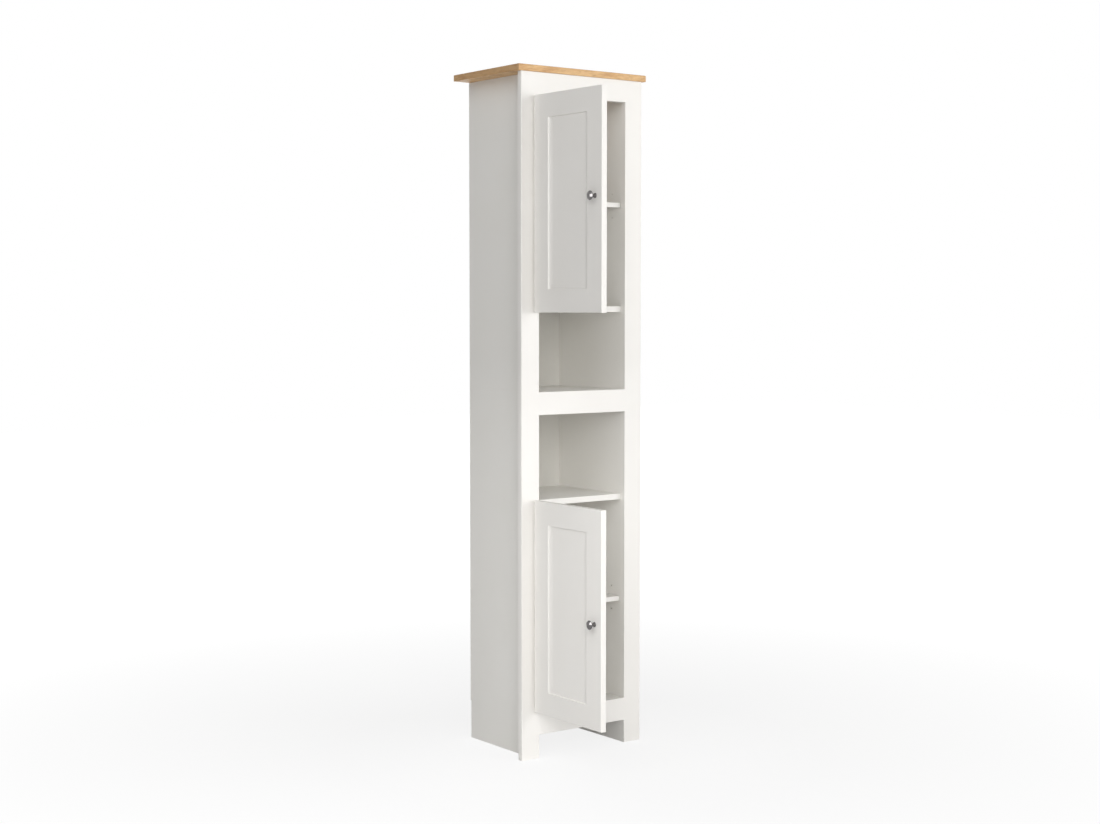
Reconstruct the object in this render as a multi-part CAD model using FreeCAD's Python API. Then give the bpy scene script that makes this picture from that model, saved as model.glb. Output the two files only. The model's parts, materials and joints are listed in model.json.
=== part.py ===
import FreeCAD, Part
import math
import os

# Tall bathroom cabinet: a face frame with two inset doors and two open niches, an oak-effect top,
# side panels set in behind the frame, a thin back, fixed and adjustable shelves.
# Millimetres, +Z up. The parts are drawn with X = 0 on the centre line, Y = 0 on the front of the
# face frame and Z = 0 on the floor, and the doors are drawn shut. Both doors then swing square
# open, and every part moves along Y so that the origin lies in the middle of the footprint.
# Small round pieces have flat sides: four on nails, six on pegs, cams and screws, more on cups and knobs.

Vector = FreeCAD.Vector
UP = Vector(0, 0, 1)
ALONG_X = Vector(1, 0, 0)
ALONG_Y = Vector(0, 1, 0)

# Driving dimensions of the carcass
TOTAL_HEIGHT = 1718.0
TOP_WIDTH = 400.0
TOP_THICKNESS = 16.0
TOP_FRONT_OVERHANG = 4.0
TOP_EASING = 1.2
FRAME_WIDTH = 378.5
FRAME_THICKNESS = 15.0
FRAME_EASING = 1.0
FRAME_JOINT_EASING = 0.5
STILE_WIDTH = 53.0
TOP_RAIL_BOTTOM = 1646.5
MIDDLE_RAIL_BOTTOM = 860.0
MIDDLE_RAIL_TOP = 917.0
BOTTOM_RAIL_BOTTOM = 59.0
BOTTOM_RAIL_TOP = 117.0
BOARD = 15.0
SIDE_BACK_Y = 280.5
BACK_THICKNESS = 3.0
BACK_BOTTOM = 98.0
BOARD_EASING = 0.5

# Shelves
UPPER_FIXED_SHELF_TOP = 1129.5
LOWER_FIXED_SHELF_TOP = 647.0
STOP_GAP = 1.0
ADJUSTABLE_THICKNESS = 12.0
ADJUSTABLE_FRONT_Y = 18.0
ADJUSTABLE_BACK_Y = 276.0
ADJUSTABLE_SIDE_GAP = 1.25
UPPER_PIN_HEIGHT = 1386.5
LOWER_PIN_HEIGHT = 373.5
PIN_PITCH = 30.0
PIN_COLUMNS_Y = (53.5, 240.0)
PIN_RADIUS = 2.5
PIN_HOLE_DEPTH = 9.0
PIN_REACH = 8.0
PIN_SLOT_PLAY = 1.0
PIN_SEAT_ABOVE_UNDERSIDE = 5.0

# Joinery
PEG_SIDES = 6
CAM_RADIUS = 7.5
CAM_DEPTH = 12.0
CAM_SETBACK = 24.0
CAM_PLAY = 0.15
CAM_COLUMNS_Y = (60.0, 235.0)
TOP_CAM_COLUMNS_Y = (60.0, 190.0)
SEAM_DOWEL_COLUMNS_Y = (100.0, 195.0)
CAM_NOTCH = 7.2
POST_RADIUS = 3.0
POST_IN_SIDE = 9.0
DOWEL_RADIUS = 4.0
DOWEL_LENGTH = 24.0
RAIL_DOWEL_SHARES = (0.3, 0.7)
FRAME_DOWEL_SHARES = (0.2, 0.72)
FRAME_DOWEL_DEPTH = 9.0
NAIL_SIDES = 4
NAIL_RADIUS = 1.5
NAIL_LENGTH = 18.0
NAIL_ROWS = 3
NAIL_PITCH = 370.0
NAIL_FROM_END = 26.0

# Doors, drawn shut
DOOR_WIDTH = 268.0
DOOR_HEIGHT = 529.5
DOOR_THICKNESS = 15.0
DOOR_HINGE_GAP = 3.0
DOOR_END_GAP = 3.0
DOOR_EASING = 1.0
MEMBER_FLAT = 57.0
COVE_WIDTH = 12.0
COVE_DEPTH = 3.6
COVE_STEP = 0.6
PANEL_FRONT = 4.0
PANEL_THICKNESS = 4.0
GROOVE_DEPTH = 8.0
PANEL_IN_GROOVE = 7.0
KNOB_FROM_FREE_EDGE = 25.0
KNOB_FROM_NICHE_END = 274.0
KNOB_HEAD_RADIUS = 11.25
KNOB_HEAD_HEIGHT = 6.0
KNOB_DOME_HEIGHT = 4.0
KNOB_RIM_ROUNDING = 0.8
KNOB_BASE_RADIUS = 6.0
KNOB_BASE_HEIGHT = 1.2
KNOB_NECK_RADIUS = 4.2
KNOB_NECK_SPAN = (5.2, 7.8)
KNOB_FLARE_RADIUS = 6.3
KNOB_FLARE_HEIGHT = 13.2
KNOB_REACH = 21.5
KNOB_SIDES = 16
KNOB_DOME_RINGS = 2
KNOB_SCREW_RADIUS = 2.0
KNOB_SCREW_HEAD_RADIUS = 4.5
KNOB_SCREW_HEAD = 2.2
KNOB_SCREW_BITE = 7.0

# Concealed hinge, seen from above with the door shut: X from the opening's hinge edge, Y as above.
# Two parallelograms turn the door about AXIS, a point inside the stile where no pin could be.
AXIS = Vector(-11.5, 8.0, 0)
ARM_PIN = Vector(7.0, 21.5, 0)
GUIDE_OFFSET = Vector(5.5, 5.75, 0)
CUP_PIN = Vector(24.75, 12.0, 0)
TIE_OFFSET = Vector(7.5, 0, 0)
HINGE_INSET = 90.0
OPEN_ANGLE = 90.0
CUP_CENTRE = 26.0
CUP_RADIUS = 17.5
CUP_DEPTH = 11.5
CUP_WALL = 1.2
CUP_SIDES = 12
CUP_FLANGE_RADIUS = 19.5
CUP_SCREW_SPREAD = 24.0
CUP_SCREW_OFFSET = 6.0
CUP_WING_RADIUS = 6.5
LEVER_PIN_RADIUS = 1.25
LEVER_HALF_WIDTH = 2.75
LEVER_END_CORNERS = 4
LEVER_PLAY = 0.08
CROSS_HALF_HEIGHT = 3.0
SWING_LAYER = (3.2, 5.2)
OUTER_LAYER = (5.4, 7.4)
ARM_LAYER = (7.6, 9.1)
ARM_HALF_WIDTH = 3.4
ARM_NOSE_HALF_WIDTH = 1.6
ARM_INNER_X = 3.25
ARM_OUTER_X = 15.25
ARM_SHEET = 1.5
ARM_FRONT_Y = 44.0
ARM_BACK_Y = 95.0
PLATE_HALF_HEIGHT = 7.0
PLATE_WING_HALF_HEIGHT = 22.0
PLATE_WING_HALF_WIDTH = 7.0
PLATE_WING_THICKNESS = 2.5
PLATE_FRONT_Y = 50.0
PLATE_BACK_Y = 92.0
PLATE_SCREW_SPREAD = 16.0
PLATE_SCREW_Y = 66.0
ARM_SCREW_Y = 84.0
SCREW_RADIUS = 1.75
SCREW_LENGTH = 11.0
SCREW_HEAD_RADIUS = 3.4
SCREW_HEAD = 1.8

# Worked out from the driving dimensions
FRAME_HEIGHT = TOTAL_HEIGHT - TOP_THICKNESS
FRAME_EDGE = FRAME_WIDTH / 2
OPENING_EDGE = FRAME_EDGE - STILE_WIDTH
SIDE_OUTSIDE = OPENING_EDGE + BOARD
BACK_Y = SIDE_BACK_Y + BACK_THICKNESS
MEMBER_WIDTH = MEMBER_FLAT + COVE_WIDTH
DOOR_LEFT = -OPENING_EDGE + DOOR_HINGE_GAP
DOOR_BOTTOMS = {
    "upper": TOP_RAIL_BOTTOM - DOOR_END_GAP - DOOR_HEIGHT,
    "lower": BOTTOM_RAIL_TOP + DOOR_END_GAP,
}
KNOB_HEIGHTS = {
    "upper": DOOR_BOTTOMS["upper"] + KNOB_FROM_NICHE_END,
    "lower": DOOR_BOTTOMS["lower"] + DOOR_HEIGHT - KNOB_FROM_NICHE_END,
}
KNOB_X = DOOR_LEFT + DOOR_WIDTH - KNOB_FROM_FREE_EDGE
DOOR_REACH_Y = AXIS.x + AXIS.y - DOOR_HINGE_GAP - DOOR_WIDTH
ORIGIN_Y = (BACK_Y + DOOR_REACH_Y) / 2
FIXED_BOARDS = {
    "bottom_panel": BOTTOM_RAIL_TOP,
    "lower_fixed_shelf": LOWER_FIXED_SHELF_TOP,
    "middle_shelf": MIDDLE_RAIL_TOP,
    "upper_fixed_shelf": UPPER_FIXED_SHELF_TOP,
}
SWING_VECTOR = CUP_PIN - AXIS


def save(name, shape):
    """Write one sub-part, moved so that the origin is in the middle of the footprint."""
    moved = shape.copy()
    moved.translate(Vector(0, -ORIGIN_Y, 0))
    moved.exportStep("parts/" + name + ".step")


def block(low, high):
    """A box between two opposite corners."""
    size = [high[i] - low[i] for i in range(3)]
    return Part.makeBox(size[0], size[1], size[2], Vector(*low))


def rod(radius, start, direction, length, sides=PEG_SIDES):
    """A straight round piece whose flat sides meet on the radius."""
    first = ALONG_X if abs(direction.z) > 0.5 else UP
    corners = []
    for step in range(sides):
        turn = FreeCAD.Rotation(direction, 360.0 * (step + 0.5) / sides)
        corners.append(start + turn.multVec(first) * radius)
    return prism(corners, direction * length)


def prism(points, direction):
    """Extrude a closed outline of corner points."""
    outline = Part.makePolygon(points + [points[0]])
    return Part.Face(outline).extrude(direction)


def cut(shape, tools):
    for tool in tools:
        shape = shape.cut(tool)
    return shape


def solids(shapes):
    """Separate solids kept together in one sub-part."""
    return Part.makeCompound(shapes)


def eased(shape, size, chosen):
    """Chamfer the straight edges whose both ends pass the test."""
    edges = [edge for edge in shape.Edges if all(chosen(v.Point) for v in edge.Vertexes)]
    return shape.makeChamfer(size, edges)


def near(value, target):
    return abs(value - target) < 0.01


# Face frame

def stile(side):
    """A full-height upright of the face frame; its foot is a front leg."""
    inner = side * OPENING_EDGE
    outer = side * FRAME_EDGE
    body = block((min(inner, outer), 0, 0), (max(inner, outer), FRAME_THICKNESS, FRAME_HEIGHT))
    body = eased(body, FRAME_EASING, lambda p: near(p.x, outer) and near(p.y, 0))
    body = eased(body, FRAME_JOINT_EASING, lambda p: near(p.x, inner) and near(p.y, 0))
    holes = [rail_dowel(side, z) for z in rail_dowel_heights()]
    holes += [frame_dowel(side, z) for z in frame_dowel_heights()]
    return cut(body, holes)


def rail(low, high):
    """A cross member between the stiles, doweled into them."""
    body = block((-OPENING_EDGE, 0, low), (OPENING_EDGE, FRAME_THICKNESS, high))
    for z in (low, high):
        if z < FRAME_HEIGHT:
            body = eased(body, FRAME_JOINT_EASING, lambda p: near(p.z, z) and near(p.y, 0))
    heights = [z for z in rail_dowel_heights() if low < z < high]
    return cut(body, [rail_dowel(side, z) for side in (-1, 1) for z in heights])


def rail_dowel_heights():
    """Two dowels to each end of each rail."""
    spans = (
        (BOTTOM_RAIL_BOTTOM, BOTTOM_RAIL_TOP),
        (MIDDLE_RAIL_BOTTOM, MIDDLE_RAIL_TOP),
        (TOP_RAIL_BOTTOM, FRAME_HEIGHT),
    )
    return [low + (high - low) * share for low, high in spans for share in RAIL_DOWEL_SHARES]


def rail_dowel(side, z):
    start = Vector(side * OPENING_EDGE - DOWEL_LENGTH / 2, FRAME_THICKNESS / 2, z)
    return rod(DOWEL_RADIUS, start, ALONG_X, DOWEL_LENGTH)


def frame_dowel_heights():
    return [FRAME_HEIGHT * share for share in FRAME_DOWEL_SHARES]


def frame_dowel(side, z):
    """A dowel that holds the frame on the front edge of a side panel."""
    start = Vector(side * (OPENING_EDGE + BOARD / 2), FRAME_THICKNESS - FRAME_DOWEL_DEPTH, z)
    return rod(DOWEL_RADIUS, start, ALONG_Y, DOWEL_LENGTH)


# Side panels, back and top

def cam_places():
    """Side, depth and height of every cam in the ends of the fixed boards."""
    return [
        (side, y, top - BOARD / 2)
        for side in (-1, 1)
        for top in FIXED_BOARDS.values()
        for y in CAM_COLUMNS_Y
    ]


def side_post(side, y, z):
    """The cam post across the joint between a fixed board and a side panel."""
    length = POST_IN_SIDE + CAM_SETBACK - CAM_NOTCH / 2
    start = Vector(side * (OPENING_EDGE + POST_IN_SIDE), y, z)
    return rod(POST_RADIUS, start, ALONG_X * -side, length)


def pin_heights():
    """Three support holes for each adjustable shelf, the middle one in use."""
    middles = (LOWER_PIN_HEIGHT, UPPER_PIN_HEIGHT)
    return [middle + step * PIN_PITCH for middle in middles for step in (-1, 0, 1)]


def seam_dowel(side, y):
    """A dowel across the seam between the two halves of a side."""
    start = Vector(side * (OPENING_EDGE + BOARD / 2), y, MIDDLE_RAIL_TOP - DOWEL_LENGTH / 2)
    return rod(DOWEL_RADIUS, start, UP, DOWEL_LENGTH)


def top_post(side, y):
    """The cam post that holds the top down on a side panel."""
    foot = FRAME_HEIGHT - CAM_SETBACK + CAM_NOTCH / 2
    start = Vector(side * (OPENING_EDGE + BOARD / 2), y, foot)
    return rod(POST_RADIUS, start, UP, FRAME_HEIGHT + POST_IN_SIDE - foot)


def top_cam(side, y, play):
    """A cam lock in the inner face of a side panel, under the top."""
    start = Vector(side * (OPENING_EDGE + CAM_DEPTH), y, FRAME_HEIGHT - CAM_SETBACK)
    return rod(CAM_RADIUS - play, start, ALONG_X * -side, CAM_DEPTH)


def side_holes(side):
    """Everything bored into one side: dowels, cam posts, shelf pins and hinge screws."""
    holes = [side_post(s, y, z) for s, y, z in cam_places() if s == side]
    holes += [seam_dowel(side, y) for y in SEAM_DOWEL_COLUMNS_Y]
    holes += [frame_dowel(side, z) for z in frame_dowel_heights()]
    holes += [top_post(side, y) for y in TOP_CAM_COLUMNS_Y]
    holes += [top_cam(side, y, 0) for y in TOP_CAM_COLUMNS_Y]
    holes += [nail(x, z) for x, z in nail_places() if x * side > 0]
    for z in pin_heights():
        for y in PIN_COLUMNS_Y:
            start = Vector(side * OPENING_EDGE, y, z)
            holes.append(rod(PIN_RADIUS, start, ALONG_X * side, PIN_HOLE_DEPTH))
    return holes


def side_panel(side, low, high):
    """Half of a side, set in behind the stile and carried down to the floor."""
    inner = side * OPENING_EDGE
    outer = side * SIDE_OUTSIDE
    body = block(
        (min(inner, outer), FRAME_THICKNESS, low),
        (max(inner, outer), SIDE_BACK_Y, high),
    )
    holes = side_holes(side)
    if side < 0:
        holes += [screw for z in hinge_heights() for screw in plate_screws(z)]
    return cut(body, holes)


def nail_places():
    """Nails down both rear edges, missing the seams."""
    x = OPENING_EDGE + BOARD / 2
    starts = (BACK_BOTTOM + NAIL_FROM_END, MIDDLE_RAIL_TOP + NAIL_FROM_END)
    rows = [low + step * NAIL_PITCH for low in starts for step in range(NAIL_ROWS)]
    return [(side * x, z) for side in (-1, 1) for z in rows]


def nail(x, z):
    """A nail through the back into a side, flush behind."""
    return rod(NAIL_RADIUS, Vector(x, BACK_Y, z), -ALONG_Y, NAIL_LENGTH, NAIL_SIDES)


def back_panel(low, high):
    """Half of the thin back, on the rear edges of the sides."""
    body = block((-SIDE_OUTSIDE, SIDE_BACK_Y, low), (SIDE_OUTSIDE, BACK_Y, high))
    return cut(body, [nail(x, z) for x, z in nail_places() if low < z < high])


def top_panel():
    """The oak-effect top, proud of the frame at the front and sides."""
    body = block(
        (-TOP_WIDTH / 2, -TOP_FRONT_OVERHANG, FRAME_HEIGHT),
        (TOP_WIDTH / 2, SIDE_BACK_Y, TOTAL_HEIGHT),
    )
    body = eased(body, TOP_EASING, lambda p: near(p.z, TOTAL_HEIGHT))
    return cut(body, [top_post(side, y) for side in (-1, 1) for y in TOP_CAM_COLUMNS_Y])


# Shelves

def board_cam(side, y, top, play):
    """A cam lock let into the underside of a fixed board."""
    start = Vector(side * (OPENING_EDGE - CAM_SETBACK), y, top - BOARD)
    return rod(CAM_RADIUS - play, start, UP, CAM_DEPTH)


def fixed_board(top, front):
    """A board between the sides, held by two cams at each end."""
    body = block((-OPENING_EDGE, front, top - BOARD), (OPENING_EDGE, SIDE_BACK_Y, top))
    if front > FRAME_THICKNESS:
        body = eased(body, BOARD_EASING, lambda p: near(p.y, front))
    holes = []
    for side in (-1, 1):
        for y in CAM_COLUMNS_Y:
            holes.append(board_cam(side, y, top, 0))
            holes.append(side_post(side, y, top - BOARD / 2))
    return cut(body, holes)


def adjustable_shelf(pin_height):
    """A loose shelf whose underside is slotted over its four pins, so that they don't show."""
    low = pin_height - PIN_SEAT_ABOVE_UNDERSIDE
    half = OPENING_EDGE - ADJUSTABLE_SIDE_GAP
    body = block(
        (-half, ADJUSTABLE_FRONT_Y, low),
        (half, ADJUSTABLE_BACK_Y, low + ADJUSTABLE_THICKNESS),
    )
    body = eased(body, BOARD_EASING, lambda p: near(p.y, ADJUSTABLE_FRONT_Y))
    roof = pin_height + PIN_RADIUS * math.cos(math.pi / PEG_SIDES)
    slots = []
    for side in (-1, 1):
        outer = side * OPENING_EDGE
        inner = outer - side * (PIN_REACH + PIN_SLOT_PLAY)
        for y in PIN_COLUMNS_Y:
            slots.append(block(
                (min(inner, outer), y - PIN_RADIUS, low),
                (max(inner, outer), y + PIN_RADIUS, roof),
            ))
    return cut(body, slots)


def shelf_pins():
    """Plain metal pins, half in the side and half in the shelf."""
    pins = []
    for z in (LOWER_PIN_HEIGHT, UPPER_PIN_HEIGHT):
        for side in (-1, 1):
            for y in PIN_COLUMNS_Y:
                start = Vector(side * (OPENING_EDGE + PIN_HOLE_DEPTH), y, z)
                pins.append(rod(PIN_RADIUS, start, ALONG_X * -side, PIN_HOLE_DEPTH + PIN_REACH))
    return solids(pins)


# Fasteners of the carcass

def shelf_cam_lock(side, y, top):
    """A round lock in a board, notched for the end of its post."""
    cam = board_cam(side, y, top, CAM_PLAY)
    x = side * (OPENING_EDGE - CAM_SETBACK)
    z = top - BOARD / 2
    reach = side * CAM_RADIUS
    notch = block(
        (min(x, x + reach), y - CAM_NOTCH / 2, z - CAM_NOTCH / 2),
        (max(x, x + reach), y + CAM_NOTCH / 2, z + CAM_NOTCH / 2),
    )
    return cam.cut(notch)


def top_cam_lock(side, y):
    """The same lock in a side panel, for a post of the top."""
    cam = top_cam(side, y, CAM_PLAY)
    x = side * (OPENING_EDGE + BOARD / 2)
    z = FRAME_HEIGHT - CAM_SETBACK
    notch = block(
        (x - CAM_NOTCH / 2, y - CAM_NOTCH / 2, z),
        (x + CAM_NOTCH / 2, y + CAM_NOTCH / 2, z + CAM_RADIUS),
    )
    return cam.cut(notch)


def cam_locks():
    locks = [
        shelf_cam_lock(side, y, top)
        for side in (-1, 1)
        for y in CAM_COLUMNS_Y
        for top in FIXED_BOARDS.values()
    ]
    locks += [top_cam_lock(side, y) for side in (-1, 1) for y in TOP_CAM_COLUMNS_Y]
    return solids(locks)


def cam_posts():
    posts = [side_post(side, y, z) for side, y, z in cam_places()]
    posts += [top_post(side, y) for side in (-1, 1) for y in TOP_CAM_COLUMNS_Y]
    return solids(posts)


def wood_dowels():
    dowels = []
    for side in (-1, 1):
        dowels += [rail_dowel(side, z) for z in rail_dowel_heights()]
        dowels += [frame_dowel(side, z) for z in frame_dowel_heights()]
        dowels += [seam_dowel(side, y) for y in SEAM_DOWEL_COLUMNS_Y]
    return solids(dowels)


# Doors, drawn shut in the door's own corner coordinates: X from the hinge edge, Y from the face

def cove_point(inward):
    """Distance from the member's edge and depth of the cove there: an arc that ends level."""
    fall = COVE_DEPTH - COVE_STEP
    radius = (COVE_WIDTH ** 2 + fall ** 2) / (2 * fall)
    to_end = COVE_WIDTH - inward
    return MEMBER_FLAT + inward, COVE_DEPTH - radius + math.sqrt(radius ** 2 - to_end ** 2)


def member(across, at, along):
    """A door member: eased flat face, small step and cove down to the panel, groove for the panel."""
    groove_floor = MEMBER_WIDTH - GROOVE_DEPTH
    panel_back = PANEL_FRONT + PANEL_THICKNESS
    straight = (
        cove_point(COVE_WIDTH), (MEMBER_WIDTH, PANEL_FRONT), (groove_floor, PANEL_FRONT),
        (groove_floor, panel_back), (MEMBER_WIDTH, panel_back), (MEMBER_WIDTH, DOOR_THICKNESS),
        (0, DOOR_THICKNESS), (0, DOOR_EASING), (DOOR_EASING, 0), (MEMBER_FLAT, 0), cove_point(0),
    )
    outline = [at + across * a + ALONG_Y * depth for a, depth in straight]
    inward, depth = cove_point(COVE_WIDTH / 2)
    middle = at + across * inward + ALONG_Y * depth
    cove = Part.Arc(outline[-1], middle, outline[0]).toShape()
    return Part.Face(Part.Wire(Part.makePolygon(outline).Edges + [cove])).extrude(along)


def door_stile(from_hinge_edge):
    """A full-height door upright; the free one mirrors the hinge one."""
    across = ALONG_X if from_hinge_edge else -ALONG_X
    at = Vector(0 if from_hinge_edge else DOOR_WIDTH, 0, 0)
    return cut(member(across, at, UP * DOOR_HEIGHT), door_end_easings())


def door_end_easings():
    """Wedges off the front edge of the door's top and bottom ends."""
    size = DOOR_EASING
    wedges = []
    for z, inward in ((0, 1), (DOOR_HEIGHT, -1)):
        corners = [Vector(0, 0, z), Vector(0, size, z), Vector(0, 0, z + inward * size)]
        wedges.append(prism(corners, ALONG_X * DOOR_WIDTH))
    return wedges


def door_rail(from_bottom, stiles):
    """A cross member, coped over the stiles' coves, with tongues that fill their grooves."""
    across = UP if from_bottom else -UP
    at = Vector(MEMBER_FLAT, 0, 0 if from_bottom else DOOR_HEIGHT)
    return cut(member(across, at, ALONG_X * (DOOR_WIDTH - 2 * MEMBER_FLAT)), stiles)


def centre_panel():
    edge = MEMBER_WIDTH - PANEL_IN_GROOVE
    return block(
        (edge, PANEL_FRONT, edge),
        (DOOR_WIDTH - edge, PANEL_FRONT + PANEL_THICKNESS, DOOR_HEIGHT - edge),
    )


def lathe(profile, sides):
    """A turned piece standing out of the door, from pairs of radius and height."""
    rings = []
    for radius, height in profile:
        turns = [2 * math.pi * step / sides for step in range(sides)]
        rings.append([Vector(radius * math.cos(t), -height, radius * math.sin(t)) for t in turns])
    faces = [Part.Face(Part.makePolygon(ring + [ring[0]])) for ring in (rings[0], rings[-1])]
    for lower, upper in zip(rings, rings[1:]):
        for step in range(sides):
            after = (step + 1) % sides
            corners = [lower[step], lower[after], upper[after], upper[step]]
            faces.append(Part.Face(Part.makePolygon(corners + [corners[0]])))
    return Part.makeSolid(Part.makeShell(faces))


def knob():
    """A turned chrome knob: round foot, waisted neck and a thin domed head, with a screw bore."""
    rim = KNOB_REACH - KNOB_HEAD_HEIGHT
    shoulder = KNOB_REACH - KNOB_DOME_HEIGHT
    edge = KNOB_HEAD_RADIUS - KNOB_RIM_ROUNDING
    dome_radius = (edge ** 2 + KNOB_DOME_HEIGHT ** 2) / (2 * KNOB_DOME_HEIGHT)
    slope = math.asin(edge / dome_radius)
    profile = [
        (KNOB_BASE_RADIUS, 0),
        (KNOB_BASE_RADIUS, KNOB_BASE_HEIGHT),
        (KNOB_NECK_RADIUS, KNOB_NECK_SPAN[0]),
        (KNOB_NECK_RADIUS, KNOB_NECK_SPAN[1]),
        (KNOB_FLARE_RADIUS, KNOB_FLARE_HEIGHT),
        (edge, rim),
        (KNOB_HEAD_RADIUS, (rim + shoulder) / 2),
        (edge, shoulder),
    ]
    for ring in range(KNOB_DOME_RINGS):
        angle = slope * (1 - (ring + 1) / (KNOB_DOME_RINGS + 1))
        height = KNOB_REACH - dome_radius * (1 - math.cos(angle))
        profile.append((dome_radius * math.sin(angle), height))
    bore = rod(KNOB_SCREW_RADIUS, Vector(0, 0, 0), -ALONG_Y, KNOB_SCREW_BITE)
    return lathe(profile, KNOB_SIDES).cut(bore)


def knob_screw():
    """Machine screw from behind the door into the knob."""
    seat = Vector(0, DOOR_THICKNESS, 0)
    length = DOOR_THICKNESS + KNOB_SCREW_BITE
    shank = rod(KNOB_SCREW_RADIUS, seat, -ALONG_Y, length)
    return shank.fuse(rod(KNOB_SCREW_HEAD_RADIUS, seat, ALONG_Y, KNOB_SCREW_HEAD))


# Hinges, drawn with the door shut

def door_hinges(door):
    """Heights of the two hinges of a door, the same distance from its ends."""
    bottom = DOOR_BOTTOMS[door]
    return [bottom + HINGE_INSET, bottom + DOOR_HEIGHT - HINGE_INSET]


def hinge_heights():
    return [z for door in DOOR_BOTTOMS for z in door_hinges(door)]


def hinge_point(place, z):
    """A point of the hinge plan, at height z."""
    return Vector(place.x - OPENING_EDGE, place.y, z)


def bar(places, half_width, low, high):
    """A flat bar, its ends cut round by a few corners, through places of the hinge plan."""
    shape = None
    quarter = math.pi / 2
    for first, second in zip(places, places[1:]):
        heading = math.atan2(second.y - first.y, second.x - first.x)
        corners = []
        for centre, start in ((second, heading - quarter), (first, heading + quarter)):
            for corner in range(LEVER_END_CORNERS):
                angle = start + 2 * quarter * corner / (LEVER_END_CORNERS - 1)
                edge = Vector(math.cos(angle), math.sin(angle), 0) * half_width
                corners.append(hinge_point(centre + edge, low))
        piece = prism(corners, UP * (high - low))
        shape = shape.fuse(piece) if shape else piece
    return shape.removeSplitter()


def bored(shape, places, play=0.0):
    """Bore upright pin holes right through a hinge piece, with play where the pin turns."""
    box = shape.BoundBox
    height = box.ZMax - box.ZMin + 2
    radius = LEVER_PIN_RADIUS
    if play:
        radius = (LEVER_PIN_RADIUS + play) / math.cos(math.pi / PEG_SIDES)
    holes = [rod(radius, hinge_point(p, box.ZMin - 1), UP, height) for p in places]
    return cut(shape, holes)


def both_layers(layer, z):
    """The heights of a pair of plates, above and below the hinge's middle."""
    return [(z + layer[0], z + layer[1]), (z - layer[1], z - layer[0])]


def plan_points():
    """Pin centres of the hinge with the door shut."""
    elbow = ARM_PIN + SWING_VECTOR
    return {
        "arm": ARM_PIN,
        "guide": ARM_PIN + GUIDE_OFFSET,
        "elbow": elbow,
        "guide_elbow": elbow + GUIDE_OFFSET,
        "tip": elbow + TIE_OFFSET,
        "cup": CUP_PIN,
        "cup_tie": CUP_PIN + TIE_OFFSET,
    }


def swing_levers(door):
    """Pair of levers from the arm past the elbow: they turn with the door."""
    points = plan_points()
    plates = []
    for z in door_hinges(door):
        for low, high in both_layers(SWING_LAYER, z):
            plate = bar([points["arm"], points["elbow"], points["tip"]], LEVER_HALF_WIDTH, low, high)
            plate = bored(plate, [points["elbow"], points["tip"]])
            plates.append(bored(plate, [points["arm"]], LEVER_PLAY))
    return solids(plates)


def guide_levers(door):
    """Outer pair beside the swing levers, which keeps the cross link from turning."""
    points = plan_points()
    plates = []
    for z in door_hinges(door):
        for low, high in both_layers(OUTER_LAYER, z):
            plate = bar([points["guide"], points["guide_elbow"]], LEVER_HALF_WIDTH, low, high)
            plate = bored(plate, [points["guide_elbow"]])
            plates.append(bored(plate, [points["guide"]], LEVER_PLAY))
    return solids(plates)


def cross_links(door):
    """The middle link from the guide elbow through the elbow to the cup."""
    points = plan_points()
    line = [points["guide_elbow"], points["elbow"], points["cup"]]
    links = []
    for z in door_hinges(door):
        link = bar(line, LEVER_HALF_WIDTH, z - CROSS_HALF_HEIGHT, z + CROSS_HALF_HEIGHT)
        links.append(bored(link, line, LEVER_PLAY))
    return solids(links)


def tie_links(door):
    """Outer pair from the levers' tip to the cup, parallel to the cross link."""
    points = plan_points()
    line = [points["tip"], points["cup_tie"]]
    plates = []
    for z in door_hinges(door):
        for low, high in both_layers(OUTER_LAYER, z):
            plate = bar(line, LEVER_HALF_WIDTH, low, high)
            plates.append(bored(plate, line, LEVER_PLAY))
    return solids(plates)


def upright_pin(place, z, half_length):
    start = hinge_point(place, z - half_length)
    return rod(LEVER_PIN_RADIUS, start, UP, 2 * half_length)


def lever_pins(door, lengths):
    """Pins at named points of the plan, each with its half length."""
    points = plan_points()
    return solids([
        upright_pin(points[name], z, half_length)
        for z in door_hinges(door)
        for name, half_length in lengths.items()
    ])


def cup_pin_half_length():
    """Long enough to end inside the cup's wall."""
    offset = DOOR_HINGE_GAP + CUP_CENTRE - CUP_PIN.x
    return (CUP_RADIUS ** 2 - offset ** 2) ** 0.5 - CUP_WALL / 2


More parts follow.
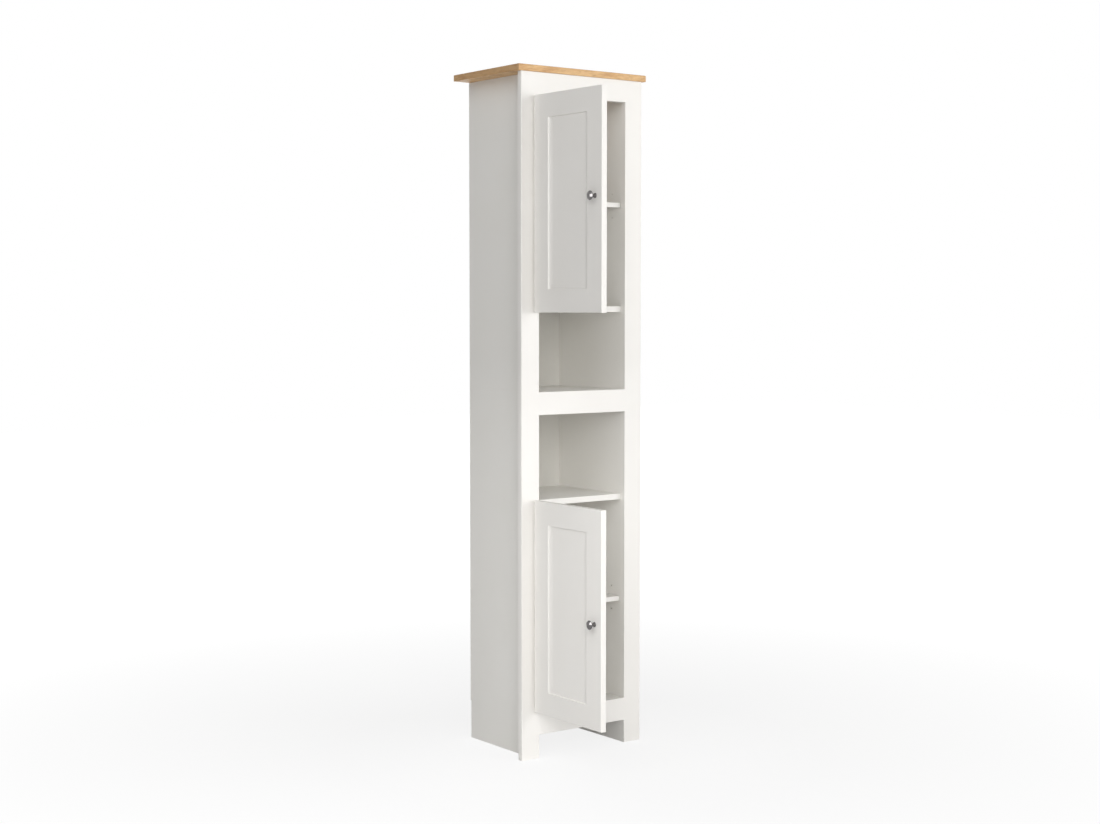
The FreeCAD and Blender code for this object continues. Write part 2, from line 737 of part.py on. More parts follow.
def hinge_cups(door):
    """Pressed cups with a flange and two screw wings, let into the back of the hinge stile."""
    centre = Vector(DOOR_HINGE_GAP + CUP_CENTRE, DOOR_THICKNESS, 0)
    points = plan_points()
    cups = []
    for z in door_hinges(door):
        mouth = hinge_point(centre, z)
        cup = rod(CUP_RADIUS, mouth, -ALONG_Y, CUP_DEPTH, CUP_SIDES)
        cup = cup.fuse(rod(CUP_FLANGE_RADIUS, mouth, ALONG_Y, CUP_WALL, CUP_SIDES))
        for side in (-1, 1):
            wing = mouth + ALONG_X * CUP_SCREW_OFFSET + UP * side * CUP_SCREW_SPREAD
            inner = mouth + ALONG_X * CUP_SCREW_OFFSET
            cup = cup.fuse(rod(CUP_WING_RADIUS, wing, ALONG_Y, CUP_WALL))
            across = ALONG_X * CUP_WING_RADIUS
            strip = [wing - across, wing + across, inner + across, inner - across]
            cup = cup.fuse(prism(strip, ALONG_Y * CUP_WALL))
        depth = CUP_DEPTH - CUP_WALL
        bottom = mouth - ALONG_Y * depth
        inside = CUP_RADIUS - CUP_WALL
        cup = cup.cut(rod(inside, bottom, ALONG_Y, depth + CUP_WALL + 1, CUP_SIDES))
        half = cup_pin_half_length()
        pins = [upright_pin(points[name], z, half) for name in ("cup", "cup_tie")]
        cups.append(cut(cup, pins + cup_screw_pair(z)).removeSplitter())
    return solids(cups)


def cup_screw_pair(z):
    """The two screws of one cup, heads on its wings."""
    x = DOOR_HINGE_GAP + CUP_CENTRE + CUP_SCREW_OFFSET
    seat = DOOR_THICKNESS + CUP_WALL
    return [
        wood_screw(hinge_point(Vector(x, seat, 0), z + side * CUP_SCREW_SPREAD), ALONG_Y)
        for side in (-1, 1)
    ]


def wood_screw(seat, out):
    """Shank into the board and a low head above the seat."""
    shank = rod(SCREW_RADIUS, seat, -out, SCREW_LENGTH)
    return shank.fuse(rod(SCREW_HEAD_RADIUS, seat, out, SCREW_HEAD))


def arm_cheek(low, high):
    """One side of an arm, from a narrow nose round the two pins to its long straight back end."""
    points = plan_points()
    outline = [
        Vector(ARM_INNER_X, ARM_BACK_Y, 0),
        Vector(ARM_INNER_X, ARM_FRONT_Y, 0),
        points["arm"] + Vector(-ARM_HALF_WIDTH, ARM_NOSE_HALF_WIDTH, 0),
        points["arm"] + Vector(-ARM_NOSE_HALF_WIDTH, -ARM_HALF_WIDTH, 0),
        points["arm"] + Vector(ARM_NOSE_HALF_WIDTH, -ARM_HALF_WIDTH, 0),
        points["guide"] + Vector(ARM_HALF_WIDTH, -ARM_NOSE_HALF_WIDTH, 0),
        Vector(ARM_OUTER_X, ARM_FRONT_Y, 0),
        Vector(ARM_OUTER_X, ARM_BACK_Y, 0),
    ]
    corners = [hinge_point(corner, low) for corner in outline]
    return bored(prism(corners, UP * (high - low)), [points["arm"], points["guide"]])


def hinge_arms():
    """Folded channels, open towards the side panel, whose cheeks carry the two arm pins."""
    arms = []
    for z in hinge_heights():
        arm = block(
            (ARM_OUTER_X - ARM_SHEET - OPENING_EDGE, ARM_FRONT_Y, z - ARM_LAYER[1]),
            (ARM_OUTER_X - OPENING_EDGE, ARM_BACK_Y, z + ARM_LAYER[1]),
        )
        for low, high in both_layers(ARM_LAYER, z):
            arm = arm.fuse(arm_cheek(low, high))
        arms.append(arm.removeSplitter().cut(arm_screw(z)))
    return solids(arms)


def arm_screw(z):
    """Clamps the arm's web down on the mounting plate."""
    return wood_screw(hinge_point(Vector(ARM_OUTER_X, ARM_SCREW_Y, 0), z), ALONG_X)


def plate_screws(z):
    """The two screws of one mounting plate, into the side panel."""
    seat = Vector(PLATE_WING_THICKNESS, PLATE_SCREW_Y, 0)
    heights = [z + side * PLATE_SCREW_SPREAD for side in (-1, 1)]
    return [wood_screw(hinge_point(seat, height), ALONG_X) for height in heights]


def hinge_plates():
    """Cross-shaped mounting plates on the hinge side's inner face, one under each arm."""
    plates = []
    for z in hinge_heights():
        body = block(
            (-OPENING_EDGE, PLATE_FRONT_Y, z - PLATE_HALF_HEIGHT),
            (ARM_OUTER_X - ARM_SHEET - OPENING_EDGE, PLATE_BACK_Y, z + PLATE_HALF_HEIGHT),
        )
        wing_x = PLATE_WING_THICKNESS - OPENING_EDGE
        wings = block(
            (-OPENING_EDGE, PLATE_SCREW_Y - PLATE_WING_HALF_WIDTH, z - PLATE_WING_HALF_HEIGHT),
            (wing_x, PLATE_SCREW_Y + PLATE_WING_HALF_WIDTH, z + PLATE_WING_HALF_HEIGHT),
        )
        plates.append(cut(body.fuse(wings), plate_screws(z) + [arm_screw(z)]).removeSplitter())
    return solids(plates)


def hinge_screws():
    """Mounting-plate screws and arm screws of all hinges."""
    screws = []
    for z in hinge_heights():
        screws += plate_screws(z) + [arm_screw(z)]
    return solids(screws)


# Opening the doors

def turned(shape, place):
    """Turn a piece clockwise, seen from above, about an upright axis of the hinge plan."""
    moved = shape.copy()
    moved.rotate(hinge_point(place, 0), UP, -OPEN_ANGLE)
    return moved


def carried(shape, start):
    """Move a link, without turning it, as its pin at this place of the plan swings with the door."""
    swung = FreeCAD.Rotation(UP, -OPEN_ANGLE).multVec(start - AXIS) + AXIS
    moved = shape.copy()
    moved.translate(swung - start)
    return moved


def save_door_woodwork(door):
    """The five wooden pieces, bored for the hinge cups and the knob screw."""
    corner = Vector(DOOR_LEFT, 0, DOOR_BOTTOMS[door])
    hinge_stile = door_stile(True)
    lock_stile = door_stile(False)
    stiles = [hinge_stile, lock_stile]
    pieces = {
        "hinge_stile": hinge_stile,
        "lock_stile": lock_stile,
        "top_rail": door_rail(False, stiles),
        "bottom_rail": door_rail(True, stiles),
        "centre_panel": centre_panel(),
    }
    bores = [cup_bore(z) for z in door_hinges(door)]
    bores += [screw for z in door_hinges(door) for screw in cup_screw_pair(z)]
    bores.append(knob_bore(door))
    for name, piece in pieces.items():
        piece.translate(corner)
        if name.endswith("stile"):
            piece = cut(piece, bores)
        save(door + "_door_" + name, turned(piece, AXIS))


def cup_bore(z):
    centre = Vector(DOOR_HINGE_GAP + CUP_CENTRE, DOOR_THICKNESS, 0)
    return rod(CUP_RADIUS, hinge_point(centre, z), -ALONG_Y, CUP_DEPTH, CUP_SIDES)


def knob_bore(door):
    start = Vector(KNOB_X, DOOR_THICKNESS, KNOB_HEIGHTS[door])
    return rod(KNOB_SCREW_RADIUS, start, -ALONG_Y, DOOR_THICKNESS)


def save_door_hardware(door):
    """Knob, cups and their screws and pins, all of which turn with the door."""
    place = Vector(KNOB_X, 0, KNOB_HEIGHTS[door])
    for name, piece in (("knob", knob()), ("knob_screw", knob_screw())):
        piece.translate(place)
        save(door + "_door_" + name, turned(piece, AXIS))
    half = cup_pin_half_length()
    screws = [screw for z in door_hinges(door) for screw in cup_screw_pair(z)]
    save(door + "_hinge_cups", turned(hinge_cups(door), AXIS))
    save(door + "_cup_screws", turned(solids(screws), AXIS))
    save(door + "_cup_pins", turned(lever_pins(door, {"cup": half, "cup_tie": half}), AXIS))


def save_levers(door):
    """The moving levers and links of one door's hinges, each group at its open place."""
    points = plan_points()
    outer = OUTER_LAYER[1]
    save(door + "_swing_levers", turned(swing_levers(door), points["arm"]))
    swing_pins = lever_pins(door, {"elbow": SWING_LAYER[1], "tip": outer})
    save(door + "_swing_pins", turned(swing_pins, points["arm"]))
    save(door + "_guide_levers", turned(guide_levers(door), points["guide"]))
    guide_pins = lever_pins(door, {"guide_elbow": outer})
    save(door + "_guide_pins", turned(guide_pins, points["guide"]))
    save(door + "_cross_links", carried(cross_links(door), points["cup"]))
    save(door + "_tie_links", carried(tie_links(door), points["cup_tie"]))


def save_carcass():
    save("top_panel", top_panel())
    save("left_stile", stile(-1))
    save("right_stile", stile(1))
    save("top_rail", rail(TOP_RAIL_BOTTOM, FRAME_HEIGHT))
    save("middle_rail", rail(MIDDLE_RAIL_BOTTOM, MIDDLE_RAIL_TOP))
    save("bottom_rail", rail(BOTTOM_RAIL_BOTTOM, BOTTOM_RAIL_TOP))
    for name, side in (("left", -1), ("right", 1)):
        save(name + "_lower_side", side_panel(side, 0, MIDDLE_RAIL_TOP))
        save(name + "_upper_side", side_panel(side, MIDDLE_RAIL_TOP, FRAME_HEIGHT))
    seam = MIDDLE_RAIL_TOP - BOARD / 2
    save("lower_back_panel", back_panel(BACK_BOTTOM, seam))
    save("upper_back_panel", back_panel(seam, FRAME_HEIGHT))
    for name, top in FIXED_BOARDS.items():
        behind_rail = name in ("bottom_panel", "middle_shelf")
        front = FRAME_THICKNESS if behind_rail else FRAME_THICKNESS + STOP_GAP
        save(name, fixed_board(top, front))
    save("lower_adjustable_shelf", adjustable_shelf(LOWER_PIN_HEIGHT))
    save("upper_adjustable_shelf", adjustable_shelf(UPPER_PIN_HEIGHT))


def save_fasteners():
    save("shelf_pins", shelf_pins())
    save("cam_locks", cam_locks())
    save("cam_posts", cam_posts())
    save("wood_dowels", wood_dowels())
    save("back_panel_nails", solids([nail(x, z) for x, z in nail_places()]))


def save_fixed_hinge_parts():
    """Arms, plates, pins and screws that stay on the cabinet's side."""
    save("hinge_arms", hinge_arms())
    save("hinge_plates", hinge_plates())
    save("hinge_screws", hinge_screws())
    ends = {"arm": ARM_LAYER[1], "guide": ARM_LAYER[1]}
    pins = [lever_pins(door, ends) for door in DOOR_BOTTOMS]
    save("hinge_arm_pins", solids([pin for group in pins for pin in group.Solids]))


os.makedirs("parts", exist_ok=True)
save_carcass()
save_fasteners()
save_fixed_hinge_parts()
for door_name in DOOR_BOTTOMS:
    save_door_woodwork(door_name)
    save_door_hardware(door_name)
    save_levers(door_name)
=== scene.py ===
import json
import math

import bmesh
import bpy
from mathutils import Matrix, Vector

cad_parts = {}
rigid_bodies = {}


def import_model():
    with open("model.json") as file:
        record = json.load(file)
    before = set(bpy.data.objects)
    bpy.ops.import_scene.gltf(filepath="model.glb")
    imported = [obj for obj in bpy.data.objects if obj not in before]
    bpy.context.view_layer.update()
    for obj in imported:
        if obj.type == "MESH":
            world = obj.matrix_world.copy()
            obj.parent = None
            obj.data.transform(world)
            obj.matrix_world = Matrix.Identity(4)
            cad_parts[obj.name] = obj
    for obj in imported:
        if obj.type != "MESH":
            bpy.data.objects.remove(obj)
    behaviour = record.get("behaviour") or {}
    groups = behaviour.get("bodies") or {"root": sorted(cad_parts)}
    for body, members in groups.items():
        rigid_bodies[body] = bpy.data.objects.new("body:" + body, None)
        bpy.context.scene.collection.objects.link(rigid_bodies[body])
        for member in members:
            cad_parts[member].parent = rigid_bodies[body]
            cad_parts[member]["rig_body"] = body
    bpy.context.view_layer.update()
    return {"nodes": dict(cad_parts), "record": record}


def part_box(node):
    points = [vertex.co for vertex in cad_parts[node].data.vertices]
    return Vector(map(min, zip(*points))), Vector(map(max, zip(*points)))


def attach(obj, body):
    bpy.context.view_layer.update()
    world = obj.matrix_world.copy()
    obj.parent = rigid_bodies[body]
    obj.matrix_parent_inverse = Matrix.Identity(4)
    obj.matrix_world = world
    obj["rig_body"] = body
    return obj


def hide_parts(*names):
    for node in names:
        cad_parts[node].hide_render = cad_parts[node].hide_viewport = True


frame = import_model()

# Real sizes in metres. X runs to the cabinet's right, Y to its back and Z up from the floor.
MM = 0.001
UP = Vector((0, 0, 1))
OUT_OF_SIDE = Vector((1, 0, 0))

# Meshing
WELD = 0.01 * MM                    # points nearer than this are one point
AXIS_WELD = 0.001 * MM
TOLERANCE = 0.05 * MM               # slack when a point is told by its place
FLAT_ANGLE = math.radians(1)        # faces that turn less are one flat face
SHARP_ANGLE = math.radians(25)      # edges that turn more may be rounded
CREASE_ANGLE = math.radians(35)     # edges that turn more stay creased when shaded
COVE_FACET_ANGLE = math.radians(12)
SQUARE_FACE = 0.9999                # a normal with so large a part lies along an axis
UPRIGHT_EDGE = 0.99                 # and an edge with so large a Z part stands upright

# Softened edges
BOARD_ROUNDING = 0.45 * MM
JOINT_ROUNDING = 0.12 * MM
BACK_ROUNDING = 0.2 * MM
PRESSED_ROUNDING = 0.35 * MM
LEVER_ROUNDING = 0.15 * MM
LEVER_END_ROUNDING = 0.9 * MM
SHORTEST_BOARD_EDGE = 18 * MM
SHORTEST_PRESSED_EDGE = 3.2 * MM

# Face frame and door members: the cove starts under a small step and runs down to the centre panel
BORDER = 2 * MM                     # edges so near the outside of a frame or door run along it
JOINT_CHAMFER = 0.5 * MM
DOOR_EASING = 1 * MM
COVE_INWARD = 57 * MM               # from the outside of the door
COVE_WIDTH = 12 * MM
COVE_STEP = 0.6 * MM
COVE_DEPTH = 3.6 * MM
RAIL_COVE_SHARE = 0.12              # how much of the cove's width is left along the rails

# Bores that show
SPARE_HOLE_STEPS = (-30 * MM, 0, 30 * MM)
SHELF_HOLE_DEPTH = 9 * MM
BORE_CLEARANCE = 0.02 * MM
BORE_STEPS = 32
PAST_FACE = 1 * MM                  # how far a through bore starts and ends outside its board

# Knobs, from the foot outwards. The waist flares to either end by a power of its length.
KNOB_BASE_RADIUS = 6.0 * MM
KNOB_BASE_HEIGHT = 1.2 * MM
KNOB_BASE_EASING = 0.3 * MM
KNOB_BASE_LIP = 0.4 * MM
KNOB_NECK_RADIUS = 4.2 * MM
KNOB_WAIST_FOOT_RADIUS = 5.2 * MM
KNOB_WAIST_HEAD_RADIUS = 10.0 * MM
KNOB_FOOT_POWER = 5
KNOB_HEAD_POWER = 4
KNOB_HEAD_RADIUS = 11.25 * MM
KNOB_RIM_RADIUS = 10.6 * MM
KNOB_HEAD = 6.0 * MM
KNOB_DOME = 4.0 * MM
KNOB_WAIST_STEPS = 8
KNOB_RIM_STEPS = 6
KNOB_DOME_STEPS = 10
KNOB_STEPS = 64

# Small turned metal. Crowns, rims and shanks are shares of a radius, and points are in shank radii.
SMALL_STEPS = 24
END_EASING = 0.3 * MM
RIVET_SPREAD = 1.35
RIVET_CROWN = 0.6
RIVET_HEIGHT = 0.12 * MM
NAIL_HEAD = 0.6 * MM
NAIL_SHANK = 0.6
NAIL_POINT = 3
NAIL_NECK = 0.3 * MM
NAIL_RIM = 0.96
NAIL_CROWN = 0.8
NAIL_EASING = 0.1 * MM

# Screws. The rim and the slots' depth are shares of the head's height, and the slots' sides of its radius.
SCREW_HEAD = 1.8 * MM
SCREW_SHANK_RADIUS = 1.75 * MM
KNOB_SCREW_HEAD = 2.2 * MM
KNOB_SCREW_SHANK_RADIUS = 2.0 * MM
SCREW_POINT = 1.5
SCREW_RIM = 0.25
SCREW_DOME_STEPS = 6
SLOT_WIDTH = 0.3
SLOT_SPAN = 1.15
SLOT_DEPTH = 0.6

# Cam locks
CAM_DEPTH = 12 * MM
CAM_RADIUS = 7.35 * MM
CAM_EASING = 0.4 * MM
CAM_RING = (0.66, 0.70, 0.80, 0.84)  # where the groove in the face starts, bottoms and ends, by radius
CAM_BORE_RADIUS = 7.5 * MM
CAM_SLOT_WIDTH = 1.3 * MM
CAM_SLOT_SPAN = 6.4 * MM
CAM_SLOT_DEPTH = 1.8 * MM
CAM_NOTCH = 7.2 * MM
CAM_NOTCH_REACH = 1.2
CAM_POST_FROM_FACE = 7.5 * MM

# Hinge cups: heights run from the mouth of the bore, outwards
CUP_RADIUS = 17.5 * MM
CUP_DEPTH = 11.5 * MM
CUP_WALL = 1.2 * MM
CUP_FLANGE_RADIUS = 19.5 * MM
CUP_CORNER = 1.5 * MM
CUP_CORNER_STEPS = 4
CUP_WING_OFFSET = 6.0 * MM
CUP_WING_RADIUS = 6.5 * MM
CUP_WING_REACH = 24.0 * MM

# Camera: the photograph's place, heading and lens
CAMERA_PLACE = Vector((-2.7339, -3.5499, 1.1284))
CAMERA_HEADING = math.radians(36.585)
CAMERA_DROP = math.radians(3.39)
CAMERA_LENS = 58.21
SENSOR_WIDTH = 36.0

# Floor and soft boxes: name, place, point aimed at, width in metres and power in watts
FLOOR_REACH = 12.0
CABINET_MIDDLE = (0, 0, 0.9)
WINDOWS = (
    ("front_right_window", (2.2, -3.6, 1.6), CABINET_MIDDLE, 3.0, 86),
    ("far_left_window", (-4.0, -6.5, 2.5), (0, 0, 0.8), 4.0, 205),
    ("upper_left_window", (-2.5, -1.5, 3.2), CABINET_MIDDLE, 2.5, 30),
    ("left_floor_glow", (-1.4, -1.2, 1.0), (-1.4, -1.2, 0), 2.0, 15),
    ("rear_window", (1.8, 4.6, 2.2), (0, 0.2, 0.9), 3.0, 42),
)
KNOB_SHINE = ("left_shine", (-2.4, -0.4, 1.3), (0, -0.25, 0.9), 1.6, 40)

# How far a finish's roughness strays: added for paint, as a factor for metal
PAINT_SHEEN = (-0.04, 0.05)
METAL_SHEEN = (0.8, 1.3)
OAK_END_SHADE = 0.45

DOORS = ("upper", "lower")
WOODEN_SLOTS = ("white_painted_board", "oak_effect_top", "painted_hardboard")


# Colour and nodes

def linear(code):
    """Linear colour of an sRGB hex code."""
    channels = [int(code[i:i + 2], 16) / 255 for i in (1, 3, 5)]
    curve = [c / 12.92 if c <= 0.04045 else ((c + 0.055) / 1.055) ** 2.4 for c in channels]
    return (*curve, 1.0)


def add(tree, kind, settings=None, links=None, **attributes):
    """Add a node, set its attributes and input values, and link outputs to its inputs."""
    node = tree.nodes.new("ShaderNode" + kind)
    for name, value in attributes.items():
        setattr(node, name, value)
    for name, value in (settings or {}).items():
        node.inputs[name].default_value = value
    for name, output in (links or {}).items():
        tree.links.new(output, node.inputs[name])
    return node


def new_material(name):
    """A new material and its node tree, emptied."""
    material = bpy.data.materials.new(name)
    material.use_nodes = True
    material.node_tree.nodes.clear()
    return material, material.node_tree


def finish_material(tree, shader):
    """Link a shader to the output of its material."""
    output = add(tree, "OutputMaterial")
    tree.links.new(shader.outputs[0], output.inputs["Surface"])


# Materials

def satin_paint(name, tint, shade, roughness, grain_mm):
    """Sprayed satin paint on board: near white, a faint drift in tone and a very fine orange peel."""
    material, tree = new_material(name)
    place = add(tree, "TexCoord").outputs["Object"]
    drift = add(tree, "TexNoise", {"Scale": 5.0, "Detail": 2.0}, {"Vector": place})
    colour = add(
        tree, "Mix", {6: linear(tint), 7: linear(shade)}, {0: drift.outputs[0]}, data_type="RGBA"
    )
    peel = add(
        tree, "TexNoise", {"Scale": 1000 / grain_mm, "Detail": 2.0, "Roughness": 0.5}, {"Vector": place}
    )
    sheen = add(
        tree, "MapRange",
        {"To Min": roughness + PAINT_SHEEN[0], "To Max": roughness + PAINT_SHEEN[1]},
        {"Value": peel.outputs[0]},
    )
    bump = add(
        tree, "Bump", {"Strength": 0.10, "Distance": 0.15 * MM}, {"Height": peel.outputs[0]}
    )
    shader = add(
        tree, "BsdfPrincipled", {"IOR": 1.47},
        {"Base Color": colour.outputs[2], "Roughness": sheen.outputs[0], "Normal": bump.outputs[0]},
    )
    finish_material(tree, shader)
    return material


def oak_foil():
    """Oak-effect foil, satin: golden brown with long fine grain, darker growth bands and short pores."""
    material, tree = new_material("oak_effect_foil_satin")
    place = add(tree, "TexCoord").outputs["Object"]
    # The grain follows the width on the top and front, and each edge's own length on the two ends
    axis = add(tree, "SeparateXYZ", links={"Vector": place})
    turned_axis = add(
        tree, "CombineXYZ",
        links={"X": axis.outputs["Y"], "Y": axis.outputs["X"], "Z": axis.outputs["Z"]},
    )
    facing = add(tree, "SeparateXYZ", links={"Vector": add(tree, "NewGeometry").outputs["Normal"]})
    sideways = add(tree, "Math", links={0: facing.outputs["X"]}, operation="ABSOLUTE")
    on_end = add(tree, "Math", {1: 0.5}, {0: sideways.outputs[0]}, operation="GREATER_THAN")
    along = add(
        tree, "Mix", links={0: on_end.outputs[0], 4: place, 5: turned_axis.outputs[0]},
        data_type="VECTOR",
    )
    # It wanders a little off that line
    grain_line = add(
        tree, "Mapping", {"Rotation": (0, math.radians(4), math.radians(1.5))},
        {"Vector": along.outputs[1]},
    )
    # Growth bands 12 to 25 mm apart, drawn out over eight times their width
    long_grain = add(tree, "Mapping", {"Scale": (7.0, 60.0, 60.0)}, {"Vector": grain_line.outputs[0]})
    bands = add(
        tree, "TexNoise", {"Scale": 1.0, "Detail": 6.0, "Roughness": 0.62, "Distortion": 0.8},
        {"Vector": long_grain.outputs[0]},
    )
    tone = add(tree, "ValToRGB", links={"Fac": bands.outputs[0]})
    stops = ((0.30, "#B98A54"), (0.46, "#CDA06A"), (0.58, "#DDB57F"), (0.74, "#C4945D"))
    ramp = tone.color_ramp
    while len(ramp.elements) < len(stops):
        ramp.elements.new(0.5)
    for element, (position, code) in zip(ramp.elements, stops):
        element.position = position
        element.color = linear(code)
    # Pores 1.5 mm wide and 20 mm long, coarser than real ones so that they show
    fine = add(tree, "Mapping", {"Scale": (50.0, 650.0, 650.0)}, {"Vector": grain_line.outputs[0]})
    pores = add(
        tree, "TexNoise", {"Scale": 1.0, "Detail": 3.0, "Roughness": 0.6}, {"Vector": fine.outputs[0]}
    )
    pore_depth = add(
        tree, "MapRange", {"From Min": 0.50, "From Max": 0.72, "To Min": 0.0, "To Max": 0.55},
        {"Value": pores.outputs[0]},
    )
    pored = add(
        tree, "Mix", {7: linear("#8E6536")},
        {0: pore_depth.outputs[0], 6: tone.outputs[0]}, data_type="RGBA",
    )
    # The bands glued to the two ends are a shade darker
    end_shade = add(
        tree, "Math", {1: OAK_END_SHADE}, {0: on_end.outputs[0]}, operation="MULTIPLY"
    )
    colour = add(
        tree, "Mix", {7: linear("#8A6337")},
        {0: end_shade.outputs[0], 6: pored.outputs[2]}, data_type="RGBA",
    )
    bump = add(
        tree, "Bump", {"Strength": 0.25, "Distance": 0.2 * MM}, {"Height": pores.outputs[0]}
    )
    bump.invert = True
    shader = add(
        tree, "BsdfPrincipled", {"Roughness": 0.46, "IOR": 1.49},
        {"Base Color": colour.outputs[2], "Normal": bump.outputs[0]},
    )
    finish_material(tree, shader)
    return material


def hardboard():
    """Thin hardboard: white paint on the face that looks into the cabinet, bare brown fibre behind."""
    material, tree = new_material("hardboard_painted_inside")
    place = add(tree, "TexCoord").outputs["Object"]
    # Fibres 2.5 mm long, and soft blotches a hand wide where the mat is denser
    fibre = add(tree, "TexNoise", {"Scale": 400.0, "Detail": 5.0, "Roughness": 0.7}, {"Vector": place})
    blotch = add(tree, "TexNoise", {"Scale": 12.0, "Detail": 3.0}, {"Vector": place})
    mottle = add(
        tree, "Mix", {0: 0.35}, {2: fibre.outputs[0], 3: blotch.outputs[0]}, data_type="FLOAT"
    )
    spread = add(
        tree, "MapRange", {"From Min": 0.36, "From Max": 0.64}, {"Value": mottle.outputs[0]}
    )
    brown = add(
        tree, "Mix", {6: linear("#836343"), 7: linear("#AC8C66")}, {0: spread.outputs[0]},
        data_type="RGBA",
    )
    facing = add(tree, "SeparateXYZ", links={"Vector": add(tree, "NewGeometry").outputs["Normal"]})
    behind = add(tree, "Math", {1: 0.5}, {0: facing.outputs["Y"]}, operation="GREATER_THAN")
    colour = add(
        tree, "Mix", {6: linear("#E9E7E1")}, {0: behind.outputs[0], 7: brown.outputs[2]},
        data_type="RGBA",
    )
    bump = add(tree, "Bump", {"Strength": 0.2, "Distance": 0.1 * MM}, {"Height": fibre.outputs[0]})
    shader = add(
        tree, "BsdfPrincipled", {"Roughness": 0.6, "IOR": 1.45},
        {"Base Color": colour.outputs[2], "Normal": bump.outputs[0]},
    )
    finish_material(tree, shader)
    return material


def metal(name, code, roughness, grain_mm, depth):
    """A plated or cast metal, its shine broken by a fine grain."""
    material, tree = new_material(name)
    place = add(tree, "TexCoord").outputs["Object"]
    grain = add(tree, "TexNoise", {"Scale": 1000 / grain_mm, "Detail": 3.0}, {"Vector": place})
    sheen = add(
        tree, "MapRange",
        {"To Min": roughness * METAL_SHEEN[0], "To Max": roughness * METAL_SHEEN[1]},
        {"Value": grain.outputs[0]},
    )
    bump = add(tree, "Bump", {"Strength": depth, "Distance": 0.05 * MM}, {"Height": grain.outputs[0]})
    shader = add(
        tree, "BsdfPrincipled", {"Base Color": linear(code), "Metallic": 1.0},
        {"Roughness": sheen.outputs[0], "Normal": bump.outputs[0]},
    )
    finish_material(tree, shader)
    return material


def beech():
    """Bare turned beech: pale pinkish brown with short flecks."""
    material, tree = new_material("beech_turned")
    place = add(tree, "TexCoord").outputs["Object"]
    flecks = add(tree, "TexNoise", {"Scale": 700.0, "Detail": 3.0}, {"Vector": place})
    colour = add(
        tree, "Mix", {6: linear("#C9A071"), 7: linear("#DDBB91")}, {0: flecks.outputs[0]},
        data_type="RGBA",
    )
    shader = add(
        tree, "BsdfPrincipled", {"Roughness": 0.65, "IOR": 1.5}, {"Base Color": colour.outputs[2]}
    )
    finish_material(tree, shader)
    return material


MATERIALS = {
    # Sprayed front frame and doors: the whitest surfaces, smooth
    "lacquer": satin_paint("mdf_satin_lacquer", "#F0EEEA", "#ECE9E4", 0.42, 1.6),
    # Foil on the boards behind: a touch greyer, with a finer texture
    "foil": satin_paint("white_melamine_foil", "#EEECE8", "#EAE8E2", 0.48, 0.9),
    "oak": oak_foil(),
    "hardboard": hardboard(),
    # Electroplated zinc casting: a mirror whose colour is darkened to a grey as a painted reflection of
    # dark surroundings, bright only where it shows the lamps
    "chrome": metal("polished_chrome", "#716F6F", 0.07, 2.0, 0.0),
    # Pressed strip, nickel plated: warm grey, half bright
    "nickel": metal("nickel_plated_steel", "#B9B5AC", 0.26, 0.5, 0.15),
    # Zinc plated screws: bluish and duller
    "zinc": metal("zinc_plated_steel", "#A9ADB2", 0.34, 0.4, 0.2),
    # Die-cast locks: dull grey with a sandy skin
    "casting": metal("zinc_die_casting", "#8F9296", 0.5, 0.3, 0.35),
    "beech": beech(),
}
RECORD_SLOTS = {row["node"]: row["material_slot"] for row in frame["record"]["subparts"]}


# Meshes

def make_object(name, build):
    """Turn a finished bmesh into an object at the origin."""
    mesh = bpy.data.meshes.new(name)
    build.to_mesh(mesh)
    build.free()
    obj = bpy.data.objects.new(name, mesh)
    bpy.context.scene.collection.objects.link(obj)
    return obj


def stand_for(obj, node, material):
    """Finish a piece and put it in place of a CAD node, on the same body."""
    obj.data.materials.append(MATERIALS[material])
    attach(obj, frame["nodes"][node]["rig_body"])
    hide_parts(node)


def smooth(obj, angle=CREASE_ANGLE):
    """Smooth shading, with creases kept."""
    obj.data.shade_smooth()
    obj.data.set_sharp_from_angle(angle=angle)
    return obj


def merged(node):
    """A CAD node's mesh with its triangles joined into whole flat faces."""
    build = bmesh.new()
    build.from_mesh(frame["nodes"][node].data)
    bmesh.ops.remove_doubles(build, verts=build.verts, dist=WELD)
    bmesh.ops.dissolve_limit(
        build, angle_limit=FLAT_ANGLE, verts=build.verts, edges=build.edges
    )
    return build


def rounded(build, width, chosen, segments=3):
    """Round the sharp edges that pass the test."""
    edges = [
        edge for edge in build.edges
        if len(edge.link_faces) == 2 and edge.calc_face_angle() > SHARP_ANGLE and chosen(edge)
    ]
    bmesh.ops.bevel(
        build, geom=edges, offset=width, segments=segments, profile=0.5, affect="EDGES",
        material=-1, clamp_overlap=True,
    )


def in_triangles(build):
    """Split every face of more than four corners."""
    bmesh.ops.triangulate(build, faces=[face for face in build.faces if len(face.verts) > 4])


def combined(build, tools):
    """A closed mesh after other closed meshes are joined to it or taken out of it, in turn."""
    solid = make_object("solid", build)
    spent = [solid]
    for operation, tool in tools:
        modifier = solid.modifiers.new("combine", "BOOLEAN")
        modifier.object = make_object("tool", tool)
        modifier.operation = operation
        modifier.solver = "EXACT"
        spent.append(modifier.object)
    evaluated = solid.evaluated_get(bpy.context.evaluated_depsgraph_get())
    result = bmesh.new()
    result.from_mesh(evaluated.to_mesh())
    evaluated.to_mesh_clear()
    for obj in spent:
        bpy.data.meshes.remove(obj.data)
    return result


def carved(build, cutters):
    """A closed mesh with the shapes of the cutters taken out of it."""
    return combined(build, [("DIFFERENCE", cutter) for cutter in cutters])


def placed(direction, start):
    """Matrix that stands a piece drawn along Z at a place, pointing in a direction."""
    turn = UP.rotation_difference(Vector(direction)).to_matrix().to_4x4()
    return Matrix.Translation(start) @ turn


